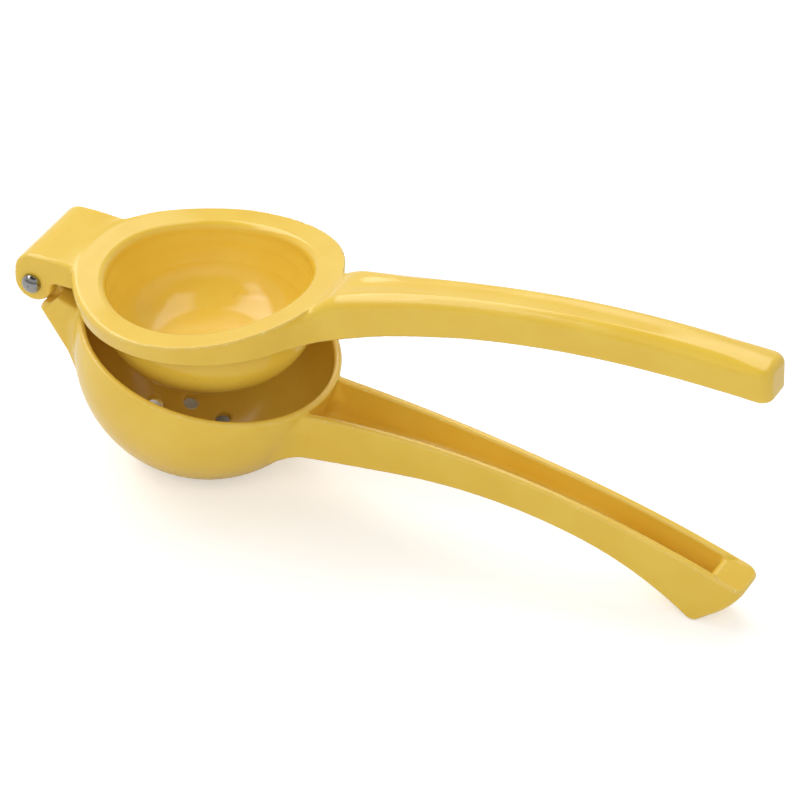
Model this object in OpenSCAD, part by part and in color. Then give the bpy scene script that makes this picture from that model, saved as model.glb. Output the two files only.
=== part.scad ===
// Hinged lemon squeezer: perforated bowl arm, press cup arm and one hinge rivet.
// Millimetres. The lower arm is drawn level with its rim at z = 0 and the bowl axis on z,
// the press arm is drawn closed on it, and both are then set down on the table, part open.

/* [Bowl] */
// Outside diameter of the bowl
bowl_d = 72.6; // [70:0.2:78]
// Wall thickness of the bowl
bowl_wall = 2.1; // [1.8:0.1:2.8]
// Height of the straight lip above the round part
lip_h = 3.3; // [2:0.1:5]
// Diameter of one drain hole
drain_d = 4; // [3:0.5:5]
// Radius of the outer ring of drain holes
drain_ring = 13.4; // [12:0.2:15]
// Radius of the inner ring of drain holes
drain_inner = 6; // [5:0.2:7]
// Diameter of the flat the bowl stands on
land_d = 14; // [10:1:16]

/* [Press ring and cup] */
// How far the ring's top edge reaches past the outside of the bowl
ring_over = 1.2; // [0:0.1:2.5]
// Thickness of the ring at its thinnest place
ring_t = 5.8; // [4.5:0.1:8]
// How far the ring sits towards the hinge
ring_shift = 2.2; // [0:0.1:3]
// Gap between the cup and the inside of the bowl, all round at the rim
cup_gap = 5; // [4:0.1:8]
// Depth of the cup below the ring
cup_depth = 19.2; // [16:0.2:26]
// Wall thickness of the cup
cup_wall = 2.2; // [1.8:0.1:3]
// Radius of the cup's bottom corner
cup_round = 15; // [12:0.5:18]

/* [Hinge] */
// Distance from the outside of the bowl to the hinge pin
hinge_off = 11.7; // [10.2:0.1:16]
// Height of the hinge pin above the rim
hinge_z = 0.4; // [-1:0.1:2]
// Width of both lugs
lug_w = 28.8; // [24:0.2:34]
// Thickness of each ear of the fork
ear_t = 3.9; // [3:0.1:5]
// Radius of the ears round the pin
ear_r = 5.5; // [5:0.1:6.5]
// Diameter of the rivet shank
pin_d = 4; // [3:0.1:5]
// Diameter of the rivet heads
head_d = 5.6; // [5.2:0.1:7]
// How far the press arm stands open, in degrees
open_angle = 15; // [0:1:60]

/* [Handles] */
// Half width of the handles along their straight part
grip_half = 6.55; // [6:0.05:8]
// Wall thickness of the handle channels
grip_wall = 2.4; // [2:0.1:3]
// Thickness of the floor of the lower channel
floor_t = 2.6; // [2:0.1:4]
// Distance from the bowl axis to the end of the upper handle
upper_end = 163.9; // [150:1:180]
// Distance from the bowl axis to the tip of the lower handle
lower_end = 162.6; // [156:1:176]
// Thickness of the upper handle between its top and the channel below it
upper_skin = 3.6; // [2.8:0.1:5]
// Depth of the thumb hollow along the upper handle
thumb_depth = 0.6; // [0.3:0.1:0.9]

/* [Fits] */
// Radial clearance of the rivet in its bores
pin_gap = 0.06; // [0.03:0.01:0.1]
// Side clearance of the tongue in the fork
tongue_gap = 0.3; // [0.2:0.05:0.6]
// Clearance round the knuckles
knuckle_gap = 0.4; // [0.3:0.05:0.8]

/* [Hidden] */
bowl_r = bowl_d / 2;
bowl_cz = -lip_h;                       // height of the bowl's round centre
land_drop = bowl_r - sqrt(bowl_r * bowl_r - land_d * land_d / 4);
drain_r = drain_d / 2;
rim_round = min(0.8, 0.4 * bowl_wall);  // radius of the rim's two edges
hinge_x = bowl_r + hinge_off;
ring_r = bowl_r + ring_over;
ring_x = -ring_shift;
ring_edge = ring_r + ring_x;            // where the ring ends on the handle side
ring_foot = ring_r - 2.1;               // radius of the drafted ring at its underside
cup_r = bowl_r - bowl_wall - cup_gap;
cup_x = ring_x + 0.9;
cup_draft = 0.7;
lug_half = lug_w / 2;
lug_in = ring_x - ring_r + 8.7;         // where the lug ends inside the ring
lug_top = ring_t + 2.8;
tongue_half = lug_half - ear_t - tongue_gap;
tongue_r = ear_r - knuckle_gap;
scoop_r = ear_r + knuckle_gap + 0.2;
web_z = hinge_z + ear_r;
pin_r = pin_d / 2;
bore_r = pin_r + pin_gap;
head_r = head_d / 2;
head_h = 1.7;

// Side curves of the two handles: where each arc peaks, and its radius.
up_top = [125, 25.8, 335];
up_low_root = [128, 16, 290];
up_low_end = [128, 16, 420];
up_root = [ring_edge + 12.7, 38];       // where the root bends down, and its radius
lo_top = [125, 10.5, 356];
lo_low_root = [115, 0.6, 178];
lo_heel = [lower_end - 47.6, 90];       // where the underside turns down to the heel, and its radius
lo_low_end = inner_arc(lo_low_root, lo_heel);
lo_flat = 62;                           // the underside runs straight from here to the bowl
up_taper = [85, 310];                   // where the side taper ends, and its radius
lo_taper = [112, 650];

// End face of the lower handle, a sloping line under the tip, and the round heel below it.
tip_z = arc_z(lo_top, lower_end);
face_foot = [lower_end - 9.4, tip_z - 14.5];
face_dir = [0.6441, 0.7649];
heel_r = 1.8;
heel_c = heel_centre();
heel_front = [face_dir[1], -face_dir[0]];
heel_out = heel_c - [lo_low_end[0], lo_low_end[1] - lo_low_end[2]];
heel_back = -heel_out / norm(heel_out);

// The table touches the bowl's flat and the heel, which sets the tilt of the lower arm.
heel_dx = heel_c[0];
heel_dz = heel_c[1] - bowl_cz;
rest_tilt = asin((bowl_r - land_drop - heel_r) / norm([heel_dx, heel_dz])) + atan2(heel_dz, heel_dx);
rest_x = -bowl_cz * sin(rest_tilt);
rest_z = bowl_r - land_drop - bowl_cz * cos(rest_tilt);

// Height of the arc a = [peak x, peak z, radius] at x, and its slope there.
function arc_z(a, x) = a[1] - a[2] + sqrt(a[2] * a[2] - pow(x - a[0], 2));
function arc_slope(a, x) = (a[0] - x) / sqrt(a[2] * a[2] - pow(x - a[0], 2));

// The arc of radius b[1] inside arc a that touches it at x = b[0], as peak x, peak z and radius.
function inner_arc(a, b) =
    let (c = [a[0], a[1] - a[2]])
    let (p = [b[0], arc_z(a, b[0])])
    let (q = p + (c - p) * b[1] / a[2])
    [q[0], q[1] + b[1], b[1]];

enamel = [0.94, 0.76, 0.26];
steel = [0.78, 0.79, 0.8];
$fn = 96;

// Centre of the heel circle: heel_r above the sloping face and outside the lower arc.
function heel_centre() =
    let (n = [-face_dir[1], face_dir[0]])
    let (p = face_foot + heel_r * n)
    let (q = p - [lo_low_end[0], lo_low_end[1] - lo_low_end[2]])
    let (b = q * face_dir)
    let (c = q * q - pow(lo_low_end[2] + heel_r, 2))
    p + (sqrt(b * b - c) - b) * face_dir;

// Stands a flat side view up: x stays, y becomes z, thickness w centred on y = 0.
module upright(w) {
    translate([0, w / 2, 0])
        rotate([90, 0, 0])
            linear_extrude(height = w)
                children();
}

// Everything under an arc that peaks at p, as a disc.
module under(p) {
    translate([p[0], p[1] - p[2]])
        circle(r = p[2]);
}

// A handle seen from above: straight sides that flare out towards the root.
module grip_plan(half, end, taper, corner) {
    difference() {
        translate([10, -20])
            square([end - 10, 40]);
        for (s = [-1, 1]) {
            translate([taper[0], s * (half + taper[1])])
                circle(r = taper[1]);
            translate([taper[0], s > 0 ? half : -half - 30])
                square([100, 30]);
            translate([end - corner, s > 0 ? half - corner : -half])
                square([corner + 1, corner]);
        }
    }
    for (s = [-1, 1])
        translate([end - corner, s * (half - corner)])
            circle(r = corner);
}

// The space inside a handle, seen from above, with rounded ends.
module channel_plan(half, start, end, taper) {
    inner = half - grip_wall;
    corner = inner * 0.7;
    intersection() {
        grip_plan(inner, end, taper, corner);
        translate([start, -20])
            square([end - start + 1, 40]);
    }
}

// ---- Lower arm, level with its rim ----

module bowl_outside() {
    translate([0, 0, bowl_cz])
        cylinder(r = bowl_r, h = lip_h - rim_round);
    rotate_extrude() {
        translate([0, -rim_round])
            square([bowl_r - rim_round, rim_round]);
        intersection() {
            translate([bowl_r - rim_round, -rim_round])
                circle(r = rim_round);
            translate([bowl_r - rim_round, -rim_round])
                square(rim_round);
        }
    }
    difference() {
        translate([0, 0, bowl_cz])
            sphere(r = bowl_r);
        translate([0, 0, bowl_cz])
            cylinder(r = bowl_r + 1, h = bowl_r + 1);
    }
}

module bowl_inside() {
    r = bowl_r - bowl_wall;
    translate([0, 0, bowl_cz])
        cylinder(r = r, h = lip_h - rim_round);
    // the rounded inner edge of the rim, and the space above it
    rotate_extrude()
        difference() {
            translate([0, -rim_round])
                square([r + rim_round, 20]);
            translate([r + rim_round, -rim_round])
                circle(r = rim_round);
        }
    difference() {
        translate([0, 0, bowl_cz])
            sphere(r = r);
        translate([0, 0, bowl_cz])
            cylinder(r = r + 1, h = r + 1);
    }
}

// Eight drain holes in a ring and four inside it, all drilled straight down.
module drain_holes() {
    for (a = [22.5:45:337.5])
        rotate([0, 0, a])
            translate([drain_ring, 0, -bowl_r - lip_h - 1])
                cylinder(r = drain_r, h = bowl_r);
    for (a = [45:90:315])
        rotate([0, 0, a])
            translate([drain_inner, 0, -bowl_r - lip_h - 1])
                cylinder(r = drain_r, h = bowl_r);
}

// Everything below the lower handle's underside, raised by up: a straight root and two arcs.
module below_lower(up) {
    z = arc_z(lo_low_root, lo_flat);
    slope = arc_slope(lo_low_root, lo_flat) - 0.012;
    translate([0, up]) {
        polygon([
            [0, z - slope * lo_flat],
            [lo_flat + 2, z + slope * 2],
            [lo_flat + 2, -200],
            [0, -200]
        ]);
        intersection() {
            under(lo_low_root);
            translate([0, -200])
                square([lo_heel[0], 300]);
        }
        intersection() {
            under(lo_low_end);
            translate([lo_heel[0], -300])
                square([200, 400]);
        }
    }
}

module lower_side() {
    root = bowl_r - 12;
    intersection() {
        difference() {
            translate([root, -60])
                square([lower_end - root, 90]);
            below_lower(0);
            // the heel's corner comes off, and the circle below takes its place
            translate(heel_c)
                polygon([[0, 0], 5 * heel_back, 5 * (heel_back + heel_front), 5 * heel_front]);
        }
        under(lo_top);
        // the sloping end face, turning up into the tip
        polygon([
            [0, -60],
            face_foot - 70 * face_dir,
            face_foot + 10.2 * face_dir,
            [lower_end - 1.1, tip_z - 4.2],
            [lower_end - 0.3, tip_z - 2.3],
            [lower_end, tip_z - 0.5],
            [lower_end, 30],
            [0, 30]
        ]);
    }
    translate(heel_c)
        circle(r = heel_r);
}

module lower_grip() {
    intersection() {
        upright(40)
            lower_side();
        translate([0, 0, -60])
            linear_extrude(height = 100)
                grip_plan(grip_half, lower_end, lo_taper, 3.6);
    }
}

// The open channel: its floor follows the underside, then climbs steeply to a shelf that runs up
// to the tip.
module lower_channel() {
    root = bowl_r - 11;
    intersection() {
        upright(40)
            difference() {
                polygon([
                    [root, -60],
                    [lower_end - 16.1, -60],
                    [lower_end - 13.1, tip_z - 10.5],
                    [lower_end - 10.4, tip_z],
                    [lower_end - 4.6, tip_z + 0.1],
                    [lower_end - 3.5, 30],
                    [root, 30]
                ]);
                below_lower(floor_t);
            }
        translate([0, 0, -60])
            linear_extrude(height = 100)
                channel_plan(grip_half, root, lower_end - 3.8, lo_taper);
    }
}

// Side view of the shoulder the fork rides over, and of the tongue that fills the fork.
module shoulder_side() {
    difference() {
        polygon([
            [-hinge_x + 4.2, -6.2],
            [-hinge_x + 4.6, -3.8],
            [-hinge_x + 6, -3.5],
            [-hinge_x + 7.8, -0.8],
            [-hinge_x + 15, -1.2],
            [-hinge_x + 20, -1.2],
            [-hinge_x + 20, -21],
            [-hinge_x + 17.5, -18.8],
            [-hinge_x + 15, -16],
            [-hinge_x + 11.4, -12.8],
            [-hinge_x + 7.6, -9.4]
        ]);
        translate([-hinge_x, hinge_z])
            circle(r = scoop_r);
    }
}

module tongue_side() {
    translate([-hinge_x, hinge_z])
        circle(r = tongue_r);
    polygon([
        [-hinge_x - 0.4, hinge_z - tongue_r],
        [-hinge_x + 4.2, -6.2],
        [-hinge_x + 10, -11],
        [-hinge_x + 13, -6],
        [-hinge_x + 10, -1.2],
        [-hinge_x + 7.8, -0.8],
        [-hinge_x + 4.4, hinge_z + 1.6],
        [-hinge_x, hinge_z + 2]
    ]);
}

module lower_arm() {
    color(enamel)
        translate([rest_x, 0, rest_z])
            rotate([0, rest_tilt, 0])
                difference() {
                    union() {
                        bowl_outside();
                        difference() {
                            lower_grip();
                            lower_channel();
                        }
                        upright(lug_w)
                            shoulder_side();
                        upright(2 * tongue_half)
                            tongue_side();
                    }
                    bowl_inside();
                    drain_holes();
                    // the flat the bowl stands on
                    rotate([0, -rest_tilt, 0])
                        translate([-rest_x - 20, -20, -rest_z - 10])
                            cube([40, 40, 10]);
                    translate([-hinge_x, 0, hinge_z])
                        rotate([90, 0, 0])
                            cylinder(r = bore_r, h = lug_w + 2, center = true);
                }
}

// ---- Press arm, drawn closed ----

module ring_blank() {
    translate([ring_x, 0, 0])
        rotate_extrude()
            polygon([
                [0, 0],
                [ring_foot - 0.6, 0],
                [ring_foot, 0.6],
                [ring_r, ring_t - 0.6],
                [ring_r, ring_t + 10],
                [0, ring_t + 10]
            ]);
}

// Plan view of the lug with its hollow corners against the ring.
module lug_plan() {
    f = 5;
    to_ring = ring_r + f - 0.05;
    fy = lug_half + f - 0.05;
    fx = ring_x - sqrt(to_ring * to_ring - fy * fy);
    tx = fx + (ring_x - fx) * f / to_ring;
    ty = fy - fy * f / to_ring;
    difference() {
        polygon([
            [-hinge_x - ear_r, -lug_half],
            [fx, -lug_half],
            [tx, -ty],
            [lug_in, -lug_half + 1],
            [lug_in, lug_half - 1],
            [tx, ty],
            [fx, lug_half],
            [-hinge_x - ear_r, lug_half]
        ]);
        for (s = [-1, 1])
            translate([fx, s * fy])
                circle(r = f);
    }
}

// Side view of the lug: the ear round the pin, a square back, and a top corner as round as the ear.
module lug_side() {
    c = ear_r;
    translate([-hinge_x, hinge_z])
        circle(r = ear_r);
    translate([-hinge_x - ear_r, hinge_z])
        square([ear_r + 4.4, lug_top - c - hinge_z]);
    polygon([
        [-hinge_x - ear_r + c, 2],
        [-hinge_x - ear_r + c, lug_top],
        [lug_in - 3.5, lug_top],
        [lug_in - 0.5, ring_t + 0.5],
        [lug_in - 0.5, 2]
    ]);
    translate([-hinge_x - ear_r + c, lug_top - c])
        circle(r = c);
    translate([-hinge_x + 3.6, 1.2])
        square([hinge_x - 3.6 + lug_in - 1, 4]);
}

module lug() {
    difference() {
        intersection() {
            upright(60)
                lug_side();
            translate([0, 0, -20])
                linear_extrude(height = 60)
                    lug_plan();
        }
        // the slot between the ears, closed on top by the web
        translate([-hinge_x - 10, -tongue_half - tongue_gap, -10])
            cube([10 + ear_r + 0.3, 2 * (tongue_half + tongue_gap), web_z + 10]);
    }
}

module upper_side() {
    intersection() {
        difference() {
            translate([ring_edge - 11, -10])
                square([upper_end - ring_edge + 11, 60]);
            under(up_low_root);
            intersection() {
                under(up_low_end);
                translate([up_low_end[0], -200])
                    square([100, 300]);
            }
        }
        under(up_top);
        union() {
            translate([up_root[0], -10])
                square([200, 60]);
            translate(root_centre())
                circle(r = up_root[1]);
        }
    }
}

// Centre of the small arc that touches the long top arc where the root bends down.
function root_centre() =
    let (c = [up_top[0], up_top[1] - up_top[2]])
    let (dx = up_root[0] - c[0])
    let (p = [up_root[0], c[1] + sqrt(up_top[2] * up_top[2] - dx * dx)])
    p + (c - p) * up_root[1] / up_top[2];

// Plan of the hollow corners between the ring and the sides of the upper handle. Each is what a
// circle leaves that dips a hair into the ring from outside and into the handle's flaring side.
module root_web_plan() {
    f = 7;
    to_ring = ring_r + f - 0.05;
    to_flare = up_taper[1] - f + 0.05;
    flare = [up_taper[0], grip_half + up_taper[1]];
    d = flare - [ring_x, 0];
    a = (d * d + to_ring * to_ring - to_flare * to_flare) / (2 * norm(d));
    h = sqrt(to_ring * to_ring - a * a);
    n = d / norm(d);
    c = [ring_x, 0] + a * n + h * [n[1], -n[0]];
    on_ring = c + ([ring_x, 0] - c) * f / to_ring;
    on_side = c + (c - flare) * f / to_flare;
    difference() {
        polygon([
            [on_ring[0] - 4, -on_ring[1] + 2],
            on_ring - [0, 2 * on_ring[1]],
            on_side - [0, 2 * on_side[1]],
            on_side,
            on_ring,
            [on_ring[0] - 4, on_ring[1] - 2]
        ]);
        for (s = [-1, 1])
            translate([c[0], s * c[1]])
                circle(r = f);
    }
}

module upper_grip() {
    difference() {
        intersection() {
            upright(40)
                upper_side();
            translate([0, 0, -10])
                linear_extrude(height = 60) {
                    grip_plan(grip_half, upper_end, up_taper, 3.6);
                    root_web_plan();
                }
        }
        thumb_hollow();
        upper_channel();
    }
}

// A shallow round hollow that follows the top of the handle.
module thumb_hollow() {
    r = 20;
    intersection() {
        translate([up_top[0], 0, up_top[1] - up_top[2]])
            rotate([90, 0, 0])
                rotate_extrude()
                    translate([up_top[2] - thumb_depth + r, 0])
                        circle(r = r);
        translate([ring_edge + 0.7, -10, 0])
            cube([upper_end - 6.7 - ring_edge, 20, 60]);
    }
}

// The hollow underside of the upper handle.
module upper_channel() {
    intersection() {
        upright(40)
            intersection() {
                translate([0, -upper_skin])
                    under(up_top);
                polygon([
                    [ring_edge + 10.7, -10],
                    [ring_edge + 10.7, 6],
                    [ring_edge + 14.7, 60],
                    [upper_end - 5.5, 60],
                    [upper_end - 4.5, -10]
                ]);
            }
        translate([0, 0, -10])
            linear_extrude(height = 60)
                channel_plan(grip_half, ring_edge + 8.7, upper_end - 4, up_taper);
    }
}

// Section of the cup, outside when inset is 0 and inside when it is the wall.
module cup_section(inset) {
    r = cup_round - inset;
    x = cup_r - cup_draft - cup_round;
    z = -cup_depth + cup_round;
    translate([0, -cup_depth + inset])
        square([x, cup_depth - inset]);
    intersection() {
        translate([x, z])
            circle(r = r);
        translate([x, -cup_depth])
            square([r + 1, cup_round]);
    }
    polygon([
        [0, z],
        [x + r, z],
        [cup_r - inset, 0],
        [cup_r - inset + 0.9 * inset / cup_wall, ring_t - 1],
        [cup_r - inset + 0.9 * inset / cup_wall, ring_t + (inset > 0 ? 12 : -2)],
        [0, ring_t + (inset > 0 ? 12 : -2)]
    ]);
}

module upper_arm() {
    $fn = 84;
    color(enamel)
        translate([rest_x, 0, rest_z])
            rotate([0, rest_tilt, 0])
                translate([-hinge_x, 0, hinge_z])
                    rotate([0, -open_angle, 0])
                        translate([hinge_x, 0, -hinge_z])
                            difference() {
                                union() {
                                    difference() {
                                        ring_blank();
                                        // the top sweeps up into the handle
                                        translate([-10, 0, ring_t + 180])
                                            rotate([90, 0, 0])
                                                cylinder(r = 180, h = 120, center = true);
                                    }
                                    translate([cup_x, 0, 0])
                                        rotate_extrude()
                                            cup_section(0);
                                    lug();
                                    upper_grip();
                                }
                                translate([cup_x, 0, 0])
                                    rotate_extrude()
                                        cup_section(cup_wall);
                                translate([-hinge_x, 0, hinge_z])
                                    rotate([90, 0, 0])
                                        cylinder(r = bore_r, h = lug_w + 2, center = true);
                            }
}

// ---- Hinge rivet: a plain shank with a domed head on each side ----

module hinge_rivet() {
    grip = lug_half + 0.05;
    dome = (head_r * head_r + head_h * head_h) / (2 * head_h);
    color(steel)
        translate([rest_x, 0, rest_z])
            rotate([0, rest_tilt, 0])
                translate([-hinge_x, 0, hinge_z])
                    rotate([90, 0, 0]) {
                        cylinder(r = pin_r, h = 2 * grip + 0.4, center = true);
                        for (s = [0, 180])
                            rotate([s, 0, 0])
                                rotate_extrude()
                                    intersection() {
                                        translate([0, grip + head_h - dome])
                                            circle(r = dome);
                                        translate([0, grip])
                                            square([head_r - 0.02, head_h + 1]);
                                    }
                    }
}

lower_arm();
upper_arm();
hinge_rivet();
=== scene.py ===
"""Hinged hand squeezer for lemons: a bowl arm and a press arm, cast and enamelled, on one steel rivet.

The two castings are distance fields, worked out with numpy on a grid and turned into a mesh, because their
surfaces run into each other in soft fillets. The rivet is a profile turned about its axis. Every size is in
millimetres until a mesh is placed, and in metres on the table after that. Each arm is drawn level, with x
along its handle, y to the far side and z up from the bowl's rim.
"""
import logging
import math
from collections.abc import Callable
from dataclasses import dataclass, field
from enum import Enum

import bpy
import numpy as np
from mathutils import Matrix, Vector


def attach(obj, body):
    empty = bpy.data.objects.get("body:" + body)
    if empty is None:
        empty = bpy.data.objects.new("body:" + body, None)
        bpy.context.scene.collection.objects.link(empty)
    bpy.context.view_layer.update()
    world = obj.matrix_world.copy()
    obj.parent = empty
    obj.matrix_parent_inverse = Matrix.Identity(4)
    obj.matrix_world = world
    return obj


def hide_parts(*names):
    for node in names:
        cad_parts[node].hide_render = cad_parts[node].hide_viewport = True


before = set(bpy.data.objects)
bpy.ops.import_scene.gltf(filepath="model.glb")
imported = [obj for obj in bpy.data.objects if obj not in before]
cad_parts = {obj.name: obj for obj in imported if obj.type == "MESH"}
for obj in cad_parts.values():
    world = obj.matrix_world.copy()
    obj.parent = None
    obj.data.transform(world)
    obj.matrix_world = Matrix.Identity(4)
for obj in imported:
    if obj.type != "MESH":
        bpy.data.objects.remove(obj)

Array = np.ndarray
Field = Callable[[Array, Array, Array], Array]
Point = tuple[float, float]
Triple = tuple[float, float, float]
Link = tuple[bpy.types.Node, str | int, bpy.types.Node, str | int]  # a node's output and a node's input
LOG = logging.getLogger("squeezer")
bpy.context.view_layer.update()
MM = 0.001
CORNERS = [(i, j, k) for i in (0, 1) for j in (0, 1) for k in (0, 1)]
NORMAL_REACH = 0.04
BEND_REACH = 0.7


# ---- Distance fields: negative inside, positive outside, in millimetres ----


def join(a: Array, b: Array, r: float | Array) -> Array:
    """Both shapes with a hollow corner: nearer than r to both, r less the length of the two gaps to r."""
    return np.maximum(r, np.minimum(a, b)) - np.hypot(np.maximum(r - a, 0), np.maximum(r - b, 0))


def meet(a: Array, b: Array, r: float | Array) -> Array:
    """What two shapes share, with its edge rounded to radius r: the mirror image of join."""
    return np.minimum(-r, np.maximum(a, b)) + np.hypot(np.maximum(r + a, 0), np.maximum(r + b, 0))


def cut(a: Array, b: Array, r: float | Array) -> Array:
    """The first shape less the second, with the new edge rounded to radius r."""
    return meet(a, -b, r)


def fuse(a: Array, b: Array, k: float | Array) -> Array:
    """Both shapes together where they lie almost level: the lesser distance, less a parabola k wide."""
    h = np.maximum(k - np.abs(a - b), 0)
    return np.minimum(a, b) - h * h / (4 * k)


def polygon(u: Array, v: Array, corners: tuple[Point, ...]) -> Array:
    """Distance to a closed outline: the nearest edge's, negative where an odd number of edges lies beyond.

    Args:
        u: First coordinate.
        v: Second coordinate.
        corners: The outline's corners in order.

    Returns:
        Array: The signed distance.
    """
    near = None
    odd = np.zeros(np.broadcast(u, v).shape, bool)
    for (au, av), (bu, bv) in zip(corners, corners[1:] + corners[:1]):
        eu, ev = bu - au, bv - av
        t = np.clip(((u - au) * eu + (v - av) * ev) / (eu * eu + ev * ev), 0, 1)
        d = (u - au - t * eu) ** 2 + (v - av - t * ev) ** 2
        near = d if near is None else np.minimum(near, d)
        if av != bv:
            odd ^= ((v < av) != (v < bv)) & (u < au + (v - av) * eu / ev)
    return np.where(odd, -1.0, 1.0) * np.sqrt(near)


def ease(t: Array) -> Array:
    """A smooth step from 0 to 1 as t goes from 0 to 1."""
    t = np.clip(t, 0, 1)
    return t * t * (3 - 2 * t)


@dataclass(frozen=True)
class Arc:
    """A circle in an arm's side view."""

    x: float
    z: float
    r: float

    def beyond(self, x: Array, z: Array) -> Array:
        """Distance outside the circle."""
        return np.hypot(x - self.x, z - self.z) - self.r

    def top_at(self, x: float) -> float:
        """Height of the circle's upper side at x."""
        return self.z + math.sqrt(self.r ** 2 - (x - self.x) ** 2)


@dataclass(frozen=True)
class Flat:
    """A straight side through a point, with the direction that leads out of the shape."""

    at: Point
    out: Point

    def beyond(self, u: Array, v: Array) -> Array:
        """Distance past the side: the step from its point, measured along the outward direction."""
        n = math.hypot(*self.out)
        return (u - self.at[0]) * self.out[0] / n + (v - self.at[1]) * self.out[1] / n


# ---- From a field to a mesh ----


@dataclass
class Skin:
    """A mesh of a field's zero surface."""

    points: Array
    quads: Array
    normals: Array
    bend: Array


def settle(shape: Field, p: Array, reach: float) -> Array:
    """Points moved onto the surface: back along the slope, by the field's value over the slope's length.

    Args:
        shape: The field.
        p: Points near the surface, one per row.
        reach: The furthest that a point may move.

    Returns:
        Array: The moved points.
    """
    x, y, z = p.T
    h = 0.01
    d = shape(x, y, z)
    g = np.stack([shape(x + h, y, z) - d, shape(x, y + h, z) - d, shape(x, y, z + h) - d], 1) / h
    length = np.maximum((g * g).sum(1), 0.05)
    return p - np.clip(d / length, -reach, reach)[:, None] * g


def slopes(shape: Field, p: Array, h: float) -> tuple[Array, Array]:
    """The field's gradient, and how sharply its surface bends, from six samples h away.

    Args:
        shape: The field.
        p: Points, one per row.
        h: Distance of each sample.

    Returns:
        tuple: The gradient, and the sum of the second differences, which is positive on an outer edge.
    """
    x, y, z = p.T
    near = [shape(x + h, y, z), shape(x - h, y, z), shape(x, y + h, z),
            shape(x, y - h, z), shape(x, y, z + h), shape(x, y, z - h)]
    g = np.stack([near[0] - near[1], near[2] - near[3], near[4] - near[5]], 1) / (2 * h)
    bend = (sum(near) - 6 * shape(x, y, z)) / (h * h)
    return g, bend


def crossings(value: Array, at: Array) -> Array:
    """The mean place of the crossings on each cell's edges, where a line between two corners passes zero.

    Args:
        value: The field on the grid.
        at: The cells that the surface crosses, one per row.

    Returns:
        Array: One point for each cell, counted in cells.
    """
    total = np.zeros((len(at), 3))
    count = np.zeros(len(at))
    for corner in CORNERS:
        for axis in range(3):
            if corner[axis]:
                continue
            a = at + corner
            b = a.copy()
            b[:, axis] += 1
            va, vb = value[tuple(a.T)], value[tuple(b.T)]
            hit = (va < 0) != (vb < 0)
            spot = a.astype(float)
            spot[:, axis] += np.where(hit, va / np.where(hit, va - vb, 1), 0)
            total += spot * hit[:, None]
            count += hit
    return total / count[:, None]


def facets(inside: Array, number: Array) -> Array:
    """A quad round every grid edge that the surface crosses, between the points of the edge's four cells.

    Args:
        inside: Whether each grid point is inside the shape.
        number: The number of each cell's point, or -1.

    Returns:
        Array: Four point numbers for each quad, in an order that faces outwards.
    """
    cells = number.shape
    quads = []
    for axis in range(3):
        u, v = (axis + 1) % 3, (axis + 2) % 3
        size = list(inside.shape)
        size[axis] -= 1
        first = [slice(0, n) for n in size]
        second = list(first)
        second[axis] = slice(1, size[axis] + 1)
        spot = np.argwhere(inside[tuple(first)] != inside[tuple(second)])
        spot = spot[(spot[:, u] > 0) & (spot[:, v] > 0) & (spot[:, u] < cells[u]) & (spot[:, v] < cells[v])]
        ring = []
        for du, dv in ((1, 1), (0, 1), (0, 0), (1, 0)):
            cell = spot.copy()
            cell[:, u] -= du
            cell[:, v] -= dv
            ring.append(number[tuple(cell.T)])
        ring = np.stack(ring, 1)
        full = inside[tuple(spot.T)]
        quads.append(np.where(full[:, None], ring[:, ::-1], ring))
    return np.concatenate(quads)[:, ::-1]


def relaxed(shape: Field, points: Array, quads: Array, step: float) -> Array:
    """Points drawn half-way to the mean of their neighbours and put back on the surface, a few times over.

    Args:
        shape: The field.
        points: The points, one per row.
        quads: The quads between them.
        step: Side of a cell, which is the furthest that a point may move.

    Returns:
        Array: The points on the surface.
    """
    sides = np.concatenate([quads[:, [0, 1]], quads[:, [1, 2]], quads[:, [2, 3]], quads[:, [3, 0]]])
    sides = np.concatenate([sides, sides[:, ::-1]])
    degree = np.bincount(sides[:, 0], minlength=len(points))
    for _ in range(4):
        mean = np.stack([np.bincount(sides[:, 0], points[sides[:, 1], i], len(points)) for i in range(3)], 1)
        points = settle(shape, points + 0.5 * (mean / degree[:, None] - points), step)
    for _ in range(2):
        points = settle(shape, points, step)
    return points


def skin(shape: Field, low: Triple, high: Triple, step: float) -> Skin:
    """The zero surface of a field, as one point in every grid cell that the surface crosses.

    Args:
        shape: The field.
        low: Lowest corner of the grid.
        high: Highest corner of the grid.
        step: Side of a cell.

    Returns:
        Skin: The points, the quads between them, and a normal and a bend for each point.
    """
    axes = [np.arange(a, b + step, step) for a, b in zip(low, high)]
    value = shape(axes[0][:, None, None], axes[1][None, :, None], axes[2][None, None, :])
    inside = value < 0
    cells = tuple(n - 1 for n in value.shape)
    filled = np.zeros(cells, np.int8)
    for i, j, k in CORNERS:
        filled += inside[i:i + cells[0], j:j + cells[1], k:k + cells[2]]
    crossed = (filled > 0) & (filled < len(CORNERS))
    at = np.argwhere(crossed)
    number = np.full(cells, -1, np.int64)
    number[crossed] = np.arange(len(at))
    points = crossings(value, at) * step + [a[0] for a in axes]
    quads = facets(inside, number)
    points = relaxed(shape, points, quads, step)
    slope, _ = slopes(shape, points, NORMAL_REACH)
    _, bend = slopes(shape, points, BEND_REACH)
    normals = slope / np.maximum(np.linalg.norm(slope, axis=1), 1e-9)[:, None]
    return Skin(points, quads, normals, bend)


# ---- How the squeezer stands ----


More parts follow.
